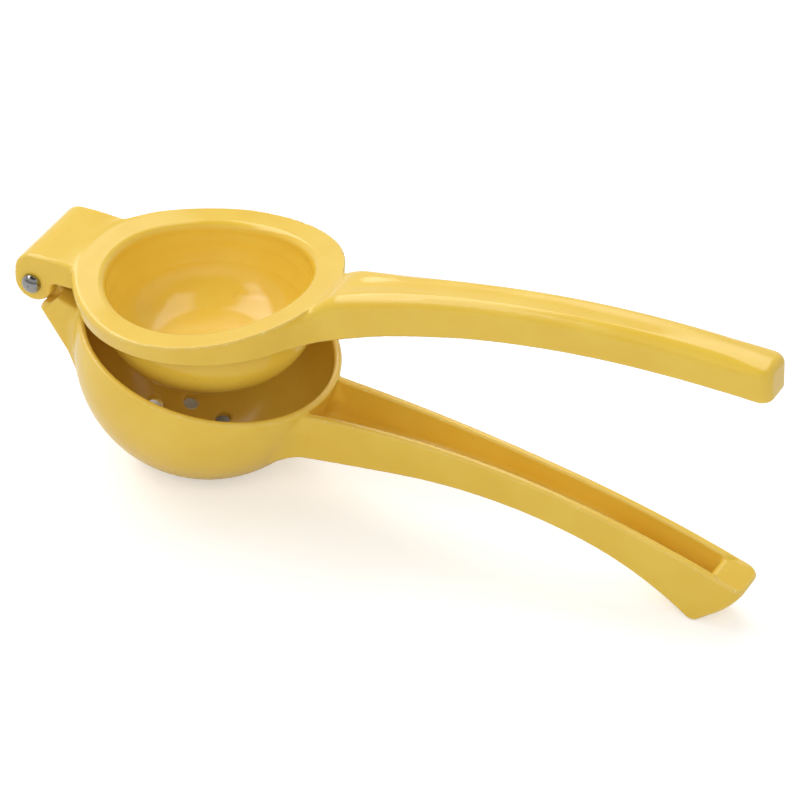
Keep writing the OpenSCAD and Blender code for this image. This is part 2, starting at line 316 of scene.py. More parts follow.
@dataclass(frozen=True)
class Stance:
    """How an arm drawn level stands on the table: turned about the y axis, then moved."""

    degrees: float
    x: float
    z: float

    def turned(self, p: Array) -> Array:
        """Directions in the table's frame: x and z mixed by the angle's cosine and sine.

        Args:
            p: Directions, one per row.

        Returns:
            Array: The turned directions.
        """
        a = math.radians(self.degrees)
        return np.stack([p[:, 0] * math.cos(a) + p[:, 2] * math.sin(a), p[:, 1],
                         p[:, 2] * math.cos(a) - p[:, 0] * math.sin(a)], 1)

    def placed(self, p: Array) -> Array:
        """Points p in the table's frame."""
        return self.turned(p) + [self.x, 0, self.z]


@dataclass(frozen=True)
class Resting:
    """The squeezer at rest: the bowl arm stands on a flat and its heel, and the press arm is held open."""

    bowl_r: float = 36.3
    lip: float = 3.3
    flat_d: float = 14.0
    arm_end: float = 162.6
    top_arc: Arc = Arc(125, -345.5, 356)
    heel_arc: Arc = Arc(115, -89.4, 90)
    heel_r: float = 1.8
    foot_back: float = 9.4
    foot_drop: float = 14.5
    face: Point = (0.6441, 0.7649)
    hinge: Point = (-48.0, 0.4)
    open_angle: float = 15.0

    def from_pin(self, x: Array, z: Array) -> Array:
        """Distance from the hinge axis in the side view of either arm."""
        return np.hypot(x - self.hinge[0], z - self.hinge[1])

    def heel(self) -> Array:
        """The middle of the heel's circle, which touches the sloping end face and the arc of the underside.

        Returns:
            Array: Its x and z on the level arm.
        """
        along = np.array(self.face)
        foot = [self.arm_end - self.foot_back, self.top_arc.top_at(self.arm_end) - self.foot_drop]
        start = foot + self.heel_r * np.array([-along[1], along[0]])
        away = start - [self.heel_arc.x, self.heel_arc.z]
        b = away @ along
        c = away @ away - (self.heel_arc.r + self.heel_r) ** 2
        return start + (math.sqrt(b * b - c) - b) * along

    def lower(self) -> Stance:
        """The bowl arm's stance: the tilt that puts its flat and its heel on the table together.

        Returns:
            Stance: The tilt in degrees and the place of the rim's middle.
        """
        flat = math.sqrt(self.bowl_r ** 2 - self.flat_d ** 2 / 4)
        x, z = self.heel() + [0, self.lip]
        tilt = math.asin((flat - self.heel_r) / math.hypot(x, z)) + math.atan2(z, x)
        return Stance(math.degrees(tilt), self.lip * math.sin(tilt), flat + self.lip * math.cos(tilt))

    def upper(self) -> Stance:
        """The press arm's stance: turned back about the hinge, whose place stays that of the bowl arm.

        Returns:
            Stance: The angle in degrees and the place of its own rim level's middle.
        """
        pin = self.pin()
        angle = self.lower().degrees - self.open_angle
        back = Stance(angle, 0, 0).turned(np.array([[self.hinge[0], 0, self.hinge[1]]]))[0]
        return Stance(angle, pin[0] - back[0], pin[2] - back[2])

    def pin(self) -> Array:
        """The hinge pin's middle on the table."""
        return self.lower().placed(np.array([[self.hinge[0], 0, self.hinge[1]]]))[0]


# ---- Pieces ----


def make_piece(name: str, body: str, nodes: list[str], mesh: bpy.types.Mesh) -> bpy.types.Object:
    """Links a mesh as a piece that rides on a body and stands for CAD nodes.

    Args:
        name: The piece's name.
        body: The body it rides on.
        nodes: The CAD nodes it stands for.
        mesh: Its mesh, placed on the table in metres.

    Returns:
        bpy.types.Object: The piece.
    """
    piece = bpy.data.objects.new(name, mesh)
    bpy.context.scene.collection.objects.link(piece)
    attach(piece, body)
    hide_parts(*nodes)
    return piece


def skin_mesh(name: str, cast: Skin, stance: Stance) -> bpy.types.Mesh:
    """The mesh of a casting, with the field's own normals and its bend as the attribute edge.

    Args:
        name: The mesh's name.
        cast: The surface, in millimetres, drawn level.
        stance: How it stands on the table.

    Returns:
        bpy.types.Mesh: The mesh in metres.
    """
    mesh = bpy.data.meshes.new(name)
    mesh.from_pydata((stance.placed(cast.points) * MM).tolist(), [], cast.quads.tolist())
    mesh.polygons.foreach_set("use_smooth", np.ones(len(cast.quads), bool))
    edge = mesh.attributes.new("edge", "FLOAT", "POINT")
    edge.data.foreach_set("value", cast.bend.astype(np.float32))
    mesh.update()
    mesh.normals_split_custom_set_from_vertices(stance.turned(cast.normals).tolist())
    return mesh


@dataclass
class Casting:
    """What the two arms share: the handle's section and flare, the lug's width, the bore and the grid."""

    end: float
    flare_x: float
    flare_r: float
    end_round: float = 3.6
    grip_half: float = 6.55
    grip_wall: float = 2.4
    lug_half: float = 14.4
    bore_r: float = 2.06
    rest: Resting = field(default_factory=Resting)
    cell: float = 0.62

    def grip_side(self, x: Array, y: Array, half: float) -> Array:
        """Distance past the handle's sides: straight beyond flare_x, on a long arc that flares to the root.

        Args:
            x: Along the handle.
            y: Across it.
            half: Half its width at the straight end.

        Returns:
            Array: The signed distance.
        """
        return self.flare_r - np.hypot(np.minimum(x - self.flare_x, 0), half + self.flare_r - np.abs(y))

    def bored(self, body: Array, x: Array, z: Array) -> Array:
        """The body less the rivet's bore, whose edge is rounded a little."""
        return cut(body, self.rest.from_pin(x, z) - self.bore_r, 0.2)


# ---- The bowl arm ----


@dataclass
class BowlArm(Casting):
    """The lower casting: perforated bowl, channelled handle, tongue and shoulder."""

    end: float = Resting.arm_end
    flare_x: float = 112.0
    flare_r: float = 650.0
    bowl_x: float = 0.15
    wall: float = 2.1
    rim_round: float = 1.0
    drain_r: float = 2.0
    drain_depth: float = 20.0
    drain_rows: tuple[tuple[float, int, float], ...] = ((13.4, 8, 22.5), (6.0, 4, 45.0))
    root_arc: Arc = Arc(115, -177.4, 178)
    root_flat: Flat = Flat((62, -7.4717), (0.2999, -1))
    end_face: Flat = Flat((153.2, -6), (0.7649, -0.6441))
    tip_face: Flat = Flat((161.5, 4.3), (1.9, -0.8))
    floor: float = 2.6
    channel_ramp: Flat = Flat((149.5, -2), (9.3, -2.7))
    channel_shelf: Flat = Flat((152.2, 8.55), (0.1, -5.8))
    grip_from: float = 28.0
    shoulder: tuple[Point, ...] = (
        (-44.4, -6.4), (-43.9, -3.9), (-42, -3.5), (-40.2, -0.8), (-33, -1.2), (-28, -1.2),
        (-28, -21), (-30.7, -19.1), (-33.3, -16.3), (-36.9, -13.1), (-40.7, -9.7),
    )
    tongue: tuple[Point, ...] = (
        (-48.4, -4.7), (-43.8, -6.2), (-38, -11), (-35, -6),
        (-38, -1.2), (-40.2, -0.8), (-43.6, 2), (-48, 2.4),
    )
    tongue_half: float = 10.2
    tongue_r: float = 5.1
    scoop_r: float = 6.1

    def ball(self, x: Array, y: Array, z: Array) -> Array:
        """Distance from the bowl's round centre, with the height above that centre left out."""
        return np.sqrt((x - self.bowl_x) ** 2 + y * y + np.minimum(z + self.rest.lip, 0) ** 2)

    def underside(self, x: Array, z: Array, up: float) -> Array:
        """Distance below the handle's underside: a straight root, then two arcs that meet at their tops.

        Args:
            x, z: The places.
            up: How far the underside is raised.

        Returns:
            Array: The signed distance.
        """
        z = z - up
        curve = np.where(x > self.root_flat.at[0], -self.root_arc.beyond(x, z), self.root_flat.beyond(x, z))
        return np.where(x > self.rest.heel_arc.x, -self.rest.heel_arc.beyond(x, z), curve)

    def channel(self, x: Array, y: Array, z: Array) -> Array:
        """The room in the handle: an inner plan, a floor level with the underside, and a ramp up to a shelf.

        Args:
            x, y, z: The places.

        Returns:
            Array: The signed distance.
        """
        inner = self.grip_half - self.grip_wall + 1.6 * ease((x - 152) / 4)
        room = meet(self.grip_side(x, y, inner), x - self.end - 3.4, 2.6)
        room = meet(room, self.underside(x, z, self.floor), 1.8)
        return meet(room, join(self.channel_ramp.beyond(x, z), self.channel_shelf.beyond(x, z), 1.2), 1.2)

    def grip(self, x: Array, y: Array, z: Array) -> Array:
        """The handle: its plan, top arc, underside, sloping end and tip, each edge rounded, less the channel.

        Args:
            x, y, z: The places.

        Returns:
            Array: The signed distance.
        """
        plan = meet(self.grip_side(x, y, self.grip_half), x - self.end, self.end_round)
        below = meet(self.underside(x, z, 0), self.end_face.beyond(x, z), self.rest.heel_r)
        below = meet(below, self.tip_face.beyond(x, z), 1.6)
        body = meet(meet(self.rest.top_arc.beyond(x, z), plan, 0.9), below, 0.7)
        return np.maximum(cut(body, self.channel(x, y, z), 0.7), self.grip_from - x)

    def lug(self, x: Array, y: Array, z: Array) -> Array:
        """The full-width shoulder with its round scoop, and the narrow tongue round the pin.

        Args:
            x, y, z: The places.

        Returns:
            Array: The signed distance.
        """
        shoulder = cut(polygon(x, z, self.shoulder), self.rest.from_pin(x, z) - self.scoop_r, 0.5)
        shoulder = meet(shoulder, np.abs(y) - self.lug_half, 1.0)
        tongue = fuse(polygon(x, z, self.tongue), self.rest.from_pin(x, z) - self.tongue_r, 0.6)
        tongue = meet(tongue, np.abs(y) - self.tongue_half, 0.7)
        return join(shoulder, tongue, 0.6)

    def drained(self, body: Array, x: Array, y: Array, z: Array) -> Array:
        """The body less its rows of drain holes: in each row, the distance to the hole at the nearest angle.

        Args:
            body: The body's field.
            x, y, z: The places.

        Returns:
            Array: The signed distance.
        """
        for radius, n, first in self.drain_rows:
            start = np.radians(first)
            turn = start + np.round((np.arctan2(y, x) - start) * n / math.tau) * math.tau / n
            hole = np.hypot(x - radius * np.cos(turn), y - radius * np.sin(turn)) - self.drain_r
            body = cut(body, np.maximum(hole, z + self.drain_depth), 0.7)
        return body

    def shape(self, x: Array, y: Array, z: Array) -> Array:
        """The whole casting: bowl, handle and lug together, less the inside, the drain holes, flat and bore.

        Args:
            x, y, z: The places.

        Returns:
            Array: The signed distance.
        """
        ball = self.ball(x, y, z) - self.rest.bowl_r
        bowl = meet(ball, z, self.rim_round)
        body = join(bowl, self.grip(x, y, z), 0.7 + 3.8 * ease((-z - 1) / 6))
        body = join(body, self.lug(x, y, z), 0.7 + 2.2 * ease((-z - 1) / 5))
        body = cut(body, ball + self.wall, self.rim_round)
        body = self.drained(body, x, y, z)
        stance = self.rest.lower()
        a = math.radians(stance.degrees)
        body = meet(body, -(z * math.cos(a) - x * math.sin(a) + stance.z), 0.5)
        return self.bored(body, x, z)

    def build(self) -> bpy.types.Object:
        """The casting as a piece.

        Returns:
            bpy.types.Object: The piece, still without its enamel.
        """
        cast = skin(self.shape, (-54.2, -37.5, -40.6), (164.0, 37.5, 12.0), self.cell)
        return make_piece("bowl_arm_casting", "lower", ["lower_arm"],
                          skin_mesh("bowl_arm_casting", cast, self.rest.lower()))


# ---- The press arm ----


@dataclass
class PressArm(Casting):
    """The upper casting, drawn closed on the bowl: saddle ring, cup, fork and handle."""

    end: float = 163.9
    flare_x: float = 85.0
    flare_r: float = 310.0
    ring_r: float = 37.8
    ring_t: float = 5.9
    ring_x: float = -2.2
    ring_draft: Flat = Flat((35.4, 0.6), (4.6, -2.1))
    saddle_x: float = -10.0
    saddle_r: float = 180.0
    saddle_back_r: float = 110.0
    cup_x: float = -1.3
    cup_foot: float = 13.5
    cup_wall: float = 2.2
    cup_depth: float = 19.2
    cup_round: float = 15.0
    cup_draft: float = 0.7
    cup_dish: float = 60.0
    mouth_draft: float = 0.9
    mouth_round: float = 2.2
    lug_top: float = 9.05
    ear_r: float = 5.65
    slot_half: float = 10.5
    slot_end: float = -42.2
    slot_top: float = 5.9
    top_arc: Arc = Arc(125, -308.75, 335)
    neck_arc: Arc = Arc(45.47, 2.24, 14)
    neck_to: float = 42.0
    low_root_arc: Arc = Arc(128, -274, 290)
    low_end_arc: Arc = Arc(128, -404, 420)
    room_root: Flat = Flat((46, 6), (-54, 4))
    skin_t: float = 3.6
    dish: float = 0.6
    dish_half: float = 4.4
    grip_from: float = 24.0

    def ring_side(self, x: Array, y: Array, z: Array) -> Array:
        """Distance past the ring's edge: a cone that opens upwards, then a band that narrows towards the lug.

        Args:
            x, y, z: The places.

        Returns:
            Array: The signed distance.
        """
        rho = np.hypot(x - self.ring_x, y)
        inset = ease((-x - 8) / 22)
        return meet(self.ring_draft.beyond(rho, z), rho - self.ring_r + inset, 4)

    def ring_top(self, x: Array, z: Array) -> Array:
        """Distance above the saddle: outside two cylinders that lie across the ring, levelled off at the lug.

        Args:
            x, z: The places.

        Returns:
            Array: The signed distance.
        """
        out = self.saddle_r - np.hypot(x - self.saddle_x, z - self.ring_t - self.saddle_r)
        back = self.saddle_back_r - np.hypot(x - self.saddle_x, z - self.ring_t - self.saddle_back_r)
        return np.where(x > self.saddle_x, out, -fuse(-back, self.lug_top - z, 2.5))

    def cup(self, x: Array, y: Array, z: Array, inset: float) -> Array:
        """Distance outside the cup: a round corner under a tapered wall. A large ball dishes its inside.

        Args:
            x, y, z: The places.
            inset: The wall's thickness for the inside, or 0 for the outside.

        Returns:
            Array: The signed distance.
        """
        rho = np.hypot(x - self.cup_x, y)
        corner = self.cup_round - self.cup_depth
        draft = self.cup_draft * np.clip((z - corner) / -corner, 0, 1)
        draft = draft + (self.mouth_draft * ease(z / 4.8) if inset else 0)
        wall = np.hypot(np.maximum(rho - self.cup_foot - draft, 0), np.maximum(corner - z, 0))
        wall = wall - self.cup_round + inset
        if not inset:
            return wall
        return meet(wall, np.hypot(rho, z + self.cup_depth - inset - self.cup_dish) - self.cup_dish, 12)

    def grip_top(self, x: Array, z: Array) -> Array:
        """Distance above the handle: one long arc, which a small one bends down into the ring's own top.

        Args:
            x, z: The places.

        Returns:
            Array: The signed distance.
        """
        arm = np.where(x > self.neck_to, self.top_arc.beyond(x, z), self.neck_arc.beyond(x, z))
        return fuse(arm, self.ring_top(x, z) + 0.7 + 0.04 * np.maximum(x - 36, 0) ** 2, 1.5)

    def grip_low(self, x: Array, z: Array) -> Array:
        """Distance below the handle's underside: two arcs that peak together, level with the ring's at last.

        Args:
            x, z: The places.

        Returns:
            Array: The signed distance.
        """
        lift = z - 0.4 * ease((70 - x) / 20)
        root, end = -self.low_root_arc.beyond(x, lift), -self.low_end_arc.beyond(x, z)
        arcs = np.where(x < self.low_end_arc.x, root, end)
        return np.where(x > 60, arcs, -fuse(-arcs, z, 1.5))

    def crown(self, x: Array, y: Array, z: Array) -> Array:
        """Distance above the handle's rounded back, with a thumb groove along its middle.

        Args:
            x, y, z: The places.

        Returns:
            Array: The signed distance.
        """
        neck = ease((x - 40) / 20)
        groove = self.dish * np.maximum(1 - (y / self.dish_half) ** 2, 0) ** 1.5
        groove = groove * ease((x - 38) / 10) * ease((158 - x) / 45)
        return self.grip_top(x, z - 0.25 * neck) + groove + np.minimum(np.abs(y), 5.5) ** 2 / 46 * neck

    def hollow(self, x: Array, y: Array, z: Array) -> Array:
        """The room under the handle: an inner plan with a round end, a roof and a sloping root.

        Args:
            x, y, z: The places.

        Returns:
            Array: The signed distance.
        """
        inner = self.grip_half - self.grip_wall
        room = meet(self.grip_side(x, y, inner), x - self.end + 4, 0.7 * inner)
        room = meet(room, self.grip_top(x, z + self.skin_t), 1.5)
        return meet(room, self.room_root.beyond(x, z), 2)

    def grip(self, x: Array, y: Array, z: Array) -> Array:
        """The handle: hollow corners at the ring, a crowned top, a rounded end, less the room below.

        Args:
            x, y, z: The places.

        Returns:
            Array: The signed distance.
        """
        plan = np.maximum(self.grip_side(x, y, self.grip_half), 20 - x)
        plan = join(self.ring_side(x, y, z) + 0.3, plan, 7)
        plan = meet(plan, x - self.end, self.end_round)
        brow = 3.6 - 0.4 * ease((x - 45) / 20) - 1.2 * ease((x - 148) / 14)
        body = meet(meet(self.crown(x, y, z), plan, brow), self.grip_low(x, z), 0.8)
        return np.maximum(cut(body, self.hollow(x, y, z), 0.8), self.grip_from - x)

    def lug(self, x: Array, y: Array, z: Array) -> Array:
        """The fork: a block let into the ring with hollow corners, two round ears, and the slot between them.

        Args:
            x, y, z: The places.

        Returns:
            Array: The signed distance.
        """
        pin_x, pin_z = self.rest.hinge
        sink = 0.6 * ease((x + 37) / 5)
        plan = join(self.ring_side(x, y, z) + sink, np.maximum(np.abs(y) - self.lug_half, x + 32), 1.0)
        block = meet(self.ring_top(x, z) + 0.1 + sink, -53.5 - x, self.ear_r)
        ear = meet(np.hypot(x - pin_x, np.minimum(z - pin_z, 0)) - self.ear_r, z - 3, 0.8)
        block = meet(block, 1.2 - z, 0.8)
        block = meet(join(block, ear, 0.05 + 1.4 * ease((x + 50) / 4)), plan, 1.1)
        slot = np.maximum(np.maximum(np.abs(y) - self.slot_half, x - self.slot_end), z - self.slot_top)
        return np.maximum(cut(block, slot, 0.6), x + 28)

    def shape(self, x: Array, y: Array, z: Array) -> Array:
        """The whole casting: ring, cup, fork and handle together, less the cup's inside and the bore.

        Args:
            x, y, z: The places.

        Returns:
            Array: The signed distance.
        """
        side = self.ring_side(x, y, z)
        top = self.ring_top(x, z)
        ring = meet(meet(side, top, 0.5 + 2.0 * ease((-x - 2) / 26)), -z, 0.8)
        body = fuse(ring, self.grip(x, y, z), 0.1 + 0.7 * ease((x - 26) / 6))
        body = fuse(body, self.lug(x, y, z), 0.1 + 0.6 * ease((-x - 30) / 4))
        body = join(body, np.maximum(self.cup(x, y, z, 0), z - 3), 1.6)
        body = cut(body, self.cup(x, y, z, self.cup_wall), self.mouth_round)
        return self.bored(body, x, z)

    def build(self) -> bpy.types.Object:
        """The casting as a piece.

        Returns:
            bpy.types.Object: The piece, still without its enamel.
        """
        cast = skin(self.shape, (-54.6, -38.6, -20.3), (165.1, 38.6, 27.0), self.cell)
        return make_piece("press_arm_casting", "upper", ["upper_arm"],
                          skin_mesh("press_arm_casting", cast, self.rest.upper()))


# ---- The hinge rivet ----


@dataclass
class HingeRivet:
    """A plain shank with a domed head on each side, turned about the hinge axis."""

    shank_r: float = 2.0
    head_r: float = 2.8
    head_h: float = 2.3
    seat: float = 14.45
    sides: int = 64
    rest: Resting = field(default_factory=Resting)

    def profile(self) -> Array:
        """Radius and distance along the axis: half an oval dome, a short lip and the shank, then mirrored.

        Returns:
            Array: The profile from one pole to the other, a point per row.
        """
        a = np.linspace(0, np.pi / 2, 22)
        dome = np.stack([self.head_r * np.sin(a), 0.3 + (self.head_h - 0.3) * np.cos(a)], 1)
        lip = np.array([[self.head_r, 0.12], [self.head_r - 0.05, 0.03], [self.head_r - 0.12, 0.0]])
        half = np.concatenate([dome, lip, [[self.shank_r + 0.1, 0.0], [self.shank_r, -0.1]]])
        half[:, 1] += self.seat
        half[0, 0] = 0
        return np.concatenate([half, half[::-1] * [1, -1]])

    def build(self) -> bpy.types.Object:
        """The rivet as a piece: each point of the profile carried round the axis, and a fan on each pole.

        Returns:
            bpy.types.Object: The piece, still without its steel.
        """
        m = self.sides
        line = self.profile()
        turn = np.linspace(0, math.tau, m, endpoint=False)
        pin = self.rest.pin()
        inner = line[1:-1]
        ring = np.stack([inner[:, :1] * np.cos(turn) + pin[0], np.repeat(inner[:, 1:], m, 1),
                         inner[:, :1] * np.sin(turn) + pin[2]], 2).reshape(-1, 3)
        poles = np.array([[pin[0], line[0, 1], pin[2]], [pin[0], line[-1, 1], pin[2]]])
        n = len(inner)
        i = np.arange(n - 1)[:, None] * m
        k = np.arange(m)
        near, pole = (k + 1) % m, m * n
        walls = np.stack([i + k, i + near, i + m + near, i + m + k], 2).reshape(-1, 4)
        caps = [(pole, b, a) for a, b in zip(k.tolist(), near.tolist())]
        last = (n - 1) * m
        caps += [(pole + 1, last + a, last + b) for a, b in zip(k.tolist(), near.tolist())]
        mesh = bpy.data.meshes.new("hinge_rivet_turned")
        mesh.from_pydata((np.concatenate([ring, poles]) * MM).tolist(), [], walls[:, ::-1].tolist() + caps)
        mesh.polygons.foreach_set("use_smooth", np.ones(len(mesh.polygons), bool))
        mesh.update()
        return make_piece("hinge_rivet_turned", "lower", ["hinge_rivet"], mesh)


# ---- Finishes ----


def node(tree: bpy.types.NodeTree, kind: str, **settings: object) -> bpy.types.Node:
    """A new node with its settings.

    Args:
        tree: The tree it goes into.
        kind: The node's type, such as ShaderNodeMath.
        settings: Its properties by name, and a dictionary named inputs with its sockets' values.

    Returns:
        bpy.types.Node: The node.
    """
    made = tree.nodes.new(kind)
    for key, value in settings.items():
        if key == "inputs":
            for name, number in value.items():
                made.inputs[name].default_value = number
        else:
            setattr(made, key, value)
    return made


def wire(tree: bpy.types.NodeTree, links: list[Link]) -> None:
    """Joins sockets in a tree."""
    for source, output, target, socket in links:
        tree.links.new(source.outputs[output], target.inputs[socket])


def band(tree: bpy.types.NodeTree, source: bpy.types.NodeSocket, start: float, stop: float,
         values: Point) -> bpy.types.NodeSocket:
    """A smooth change between two values as the source goes from start to stop.

    Args:
        tree: The tree it goes into.
        source: The socket that is followed.
        start: Where the first value ends.
        stop: Where the second value begins.
        values: The two values.

    Returns:
        bpy.types.NodeSocket: The changing value.
    """
    made = node(tree, "ShaderNodeMapRange", interpolation_type="SMOOTHSTEP",
                inputs={"From Min": start, "From Max": stop, "To Min": values[0], "To Max": values[1]})
    tree.links.new(source, made.inputs["Value"])
    return made.outputs["Result"]


def mixed(tree: bpy.types.NodeTree, factor: bpy.types.NodeSocket, a: bpy.types.NodeSocket | float,
          b: bpy.types.NodeSocket | float) -> bpy.types.NodeSocket:
    """Two values mixed by a factor: the first at 0, the second at 1.

    Args:
        tree: The tree it goes into.
        factor: The socket of the factor.
        a: The first value.
        b: The second value.

    Returns:
        bpy.types.NodeSocket: The mixed value.
    """
    made = node(tree, "ShaderNodeMix", data_type="FLOAT")
    tree.links.new(factor, made.inputs["Factor"])
    for name, value in (("A", a), ("B", b)):
        if isinstance(value, float):
            made.inputs[name].default_value = value
        else:
            tree.links.new(value, made.inputs[name])
    return made.outputs["Result"]


def cast_surface_group() -> bpy.types.NodeTree:
    """A node group for enamel over a casting.

    It puts out a slow unevenness, a fine ripple, the outer edges, small nicks along them, and specks of dust.

    Returns:
        bpy.types.NodeTree: The group.
    """
    group = bpy.data.node_groups.new("enamel_over_casting", "ShaderNodeTree")
    face = group.interface
    for name, value in (("Wave Scale", 60.0), ("Peel Scale", 900.0), ("Edge Start", 0.5), ("Edge End", 1.4)):
        face.new_socket(name=name, in_out="INPUT", socket_type="NodeSocketFloat").default_value = value
    for name in ("Wave", "Peel", "Edge", "Nick", "Speck"):
        face.new_socket(name=name, in_out="OUTPUT", socket_type="NodeSocketFloat")
    start = node(group, "NodeGroupInput")
    end = node(group, "NodeGroupOutput")
    place = node(group, "ShaderNodeTexCoord")
    wave = node(group, "ShaderNodeTexNoise", inputs={"Detail": 3.0, "Roughness": 0.5})
    peel = node(group, "ShaderNodeTexNoise", inputs={"Detail": 2.0, "Roughness": 0.45})
    speck = node(group, "ShaderNodeTexVoronoi", inputs={"Scale": 420.0})
    dots = node(group, "ShaderNodeMapRange",
                inputs={"From Min": 0.05, "From Max": 0.1, "To Min": 1.0, "To Max": 0.0})
    few = node(group, "ShaderNodeTexNoise", inputs={"Scale": 210.0, "Detail": 1.0})
    rare = node(group, "ShaderNodeMapRange", inputs={"From Min": 0.62, "From Max": 0.66})
    both = node(group, "ShaderNodeMath", operation="MULTIPLY")
    bend = node(group, "ShaderNodeAttribute", attribute_name="edge")
    edge = node(group, "ShaderNodeMapRange", interpolation_type="SMOOTHSTEP")
    chip = node(group, "ShaderNodeTexNoise", inputs={"Scale": 620.0, "Detail": 2.0, "Roughness": 0.6})
    worn = node(group, "ShaderNodeMapRange", inputs={"From Min": 0.64, "From Max": 0.69})
    nick = node(group, "ShaderNodeMath", operation="MULTIPLY")
    wire(group, [
        (place, "Object", chip, "Vector"), (chip, "Fac", worn, "Value"), (worn, "Result", nick, 0),
        (edge, "Result", nick, 1), (nick, "Value", end, "Nick"), (place, "Object", wave, "Vector"),
        (place, "Object", peel, "Vector"), (start, "Wave Scale", wave, "Scale"),
        (start, "Peel Scale", peel, "Scale"), (place, "Object", speck, "Vector"),
        (place, "Object", few, "Vector"), (speck, "Distance", dots, "Value"), (few, "Fac", rare, "Value"),
        (dots, "Result", both, 0), (rare, "Result", both, 1), (bend, "Fac", edge, "Value"),
        (start, "Edge Start", edge, "From Min"), (start, "Edge End", edge, "From Max"),
        (wave, "Fac", end, "Wave"), (peel, "Fac", end, "Peel"), (edge, "Result", end, "Edge"),
        (both, "Value", end, "Speck"),
    ])
    return group


@dataclass(frozen=True)
class Enamel:
    """Glossy yellow enamel baked onto a casting."""

    name: str
    thick: Triple
    thin: Triple
    # Pale colour: a painted highlight along outer edges, and the colour of chipped nicks.
    pale: Triple
    dust: Triple
    gloss: float
    peel: float
    edge_sheen_share: float = 0.3
    nick_share: float = 0.7
    dust_share: float = 0.4

    def material(self, group: bpy.types.NodeTree) -> bpy.types.Material:
        """The material: its colour drifts slowly, pales on outer edges as a painted highlight and at nicks
        where the enamel is chipped, and its height ripples a little.

        Args:
            group: The shared node group for enamel over a casting.

        Returns:
            bpy.types.Material: The finished material.
        """
        mat = bpy.data.materials.new(self.name)
        mat.use_nodes = True
        tree = mat.node_tree
        shader = tree.nodes["Principled BSDF"]
        shader.inputs["IOR"].default_value = 1.5
        cast = node(tree, "ShaderNodeGroup", node_tree=group)
        drift = node(tree, "ShaderNodeMix", data_type="RGBA")
        drift.inputs["A"].default_value = (*self.thick, 1)
        drift.inputs["B"].default_value = (*self.thin, 1)
        spread = node(tree, "ShaderNodeMapRange", inputs={"From Min": 0.35, "From Max": 0.65})
        # Painted highlight: outer edges are mixed towards the pale colour to stand for the sheen of glossy
        # rounded edges; the nicks in the same colour are chipped enamel.
        edges = node(tree, "ShaderNodeMix", data_type="RGBA")
        edges.inputs["B"].default_value = (*self.pale, 1)
        sheen_and_nick_share = node(tree, "ShaderNodeMath", operation="MULTIPLY_ADD", use_clamp=True,
                    inputs={1: self.edge_sheen_share})
        nicks = node(tree, "ShaderNodeMath", operation="MULTIPLY", inputs={1: self.nick_share})
        specks = node(tree, "ShaderNodeMix", data_type="RGBA")
        specks.inputs["B"].default_value = (*self.dust, 1)
        faint = node(tree, "ShaderNodeMath", operation="MULTIPLY", inputs={1: self.dust_share})
        rough = node(tree, "ShaderNodeMapRange",
                     inputs={"To Min": self.gloss * 0.8, "To Max": self.gloss * 1.25})
        bump = node(tree, "ShaderNodeBump", inputs={"Strength": 1.0, "Distance": self.peel})
        height = node(tree, "ShaderNodeMath", operation="MULTIPLY_ADD", inputs={1: 4.0})
        wire(tree, [
            (cast, "Wave", spread, "Value"), (spread, "Result", drift, "Factor"), (cast, "Edge", sheen_and_nick_share, 0),
            (cast, "Nick", nicks, 0), (nicks, "Value", sheen_and_nick_share, 2), (sheen_and_nick_share, "Value", edges, "Factor"),
            (drift, "Result", edges, "A"), (cast, "Speck", faint, 0), (faint, "Value", specks, "Factor"),
            (edges, "Result", specks, "A"), (specks, "Result", shader, "Base Color"),
            (cast, "Wave", rough, "Value"), (rough, "Result", shader, "Roughness"),
            (cast, "Wave", height, 0), (cast, "Peel", height, 2), (height, "Value", bump, "Height"),
            (bump, "Normal", shader, "Normal"),
        ])
        return mat


@dataclass(frozen=True)
class TurnedSteel:
    """Bright steel with faint turning marks round the rivet's axis."""

    name: str
    colour: Triple
    roughness: float
    groove: float

    def material(self, pin: Array) -> bpy.types.Material:
        """The material: rings about the axis through pin, and a light haze.

        Args:
            pin: The rivet's middle on the table, in millimetres.

        Returns:
            bpy.types.Material: The finished material.
        """
        mat = bpy.data.materials.new(self.name)
        mat.use_nodes = True
        tree = mat.node_tree
        shader = tree.nodes["Principled BSDF"]
        shader.inputs["Metallic"].default_value = 1.0
        place = node(tree, "ShaderNodeTexCoord")
        centre = node(tree, "ShaderNodeMapping", vector_type="POINT")
        centre.inputs["Location"].default_value = tuple(-pin * MM)
        rings = node(tree, "ShaderNodeTexWave", wave_type="RINGS", rings_direction="Y",
                     inputs={"Scale": 900.0, "Distortion": 1.5, "Detail": 2.0})
        haze = node(tree, "ShaderNodeTexNoise", inputs={"Scale": 500.0, "Detail": 3.0})
        tint = node(tree, "ShaderNodeMix", data_type="RGBA")
        tint.inputs["A"].default_value = (*[c * 0.86 for c in self.colour], 1)
        tint.inputs["B"].default_value = (*self.colour, 1)
        rough = node(tree, "ShaderNodeMapRange",
                     inputs={"To Min": self.roughness * 0.7, "To Max": self.roughness * 1.4})
        bump = node(tree, "ShaderNodeBump", inputs={"Strength": 0.1, "Distance": self.groove})
        wire(tree, [
            (place, "Object", centre, "Vector"), (centre, "Vector", rings, "Vector"),
            (centre, "Vector", haze, "Vector"), (haze, "Fac", tint, "Factor"),
            (tint, "Result", shader, "Base Color"), (haze, "Fac", rough, "Value"),
            (rough, "Result", shader, "Roughness"), (rings, "Fac", bump, "Height"),
            (bump, "Normal", shader, "Normal"),
        ])
        return mat


class Finish(Enum):
    """The two finishes on the squeezer."""

    # The yellow's pale colour is the painted highlight on outer edges and the colour of chipped nicks.
    YELLOW = Enamel(name="yellow_enamel", thick=(0.85, 0.555, 0.062), thin=(0.875, 0.595, 0.076),
                    pale=(0.93, 0.72, 0.25), dust=(0.35, 0.2, 0.05), gloss=0.16, peel=0.00002)
    STEEL = TurnedSteel(name="turned_steel", colour=(0.37, 0.365, 0.36), roughness=0.1, groove=0.000008)


# ---- Studio ----


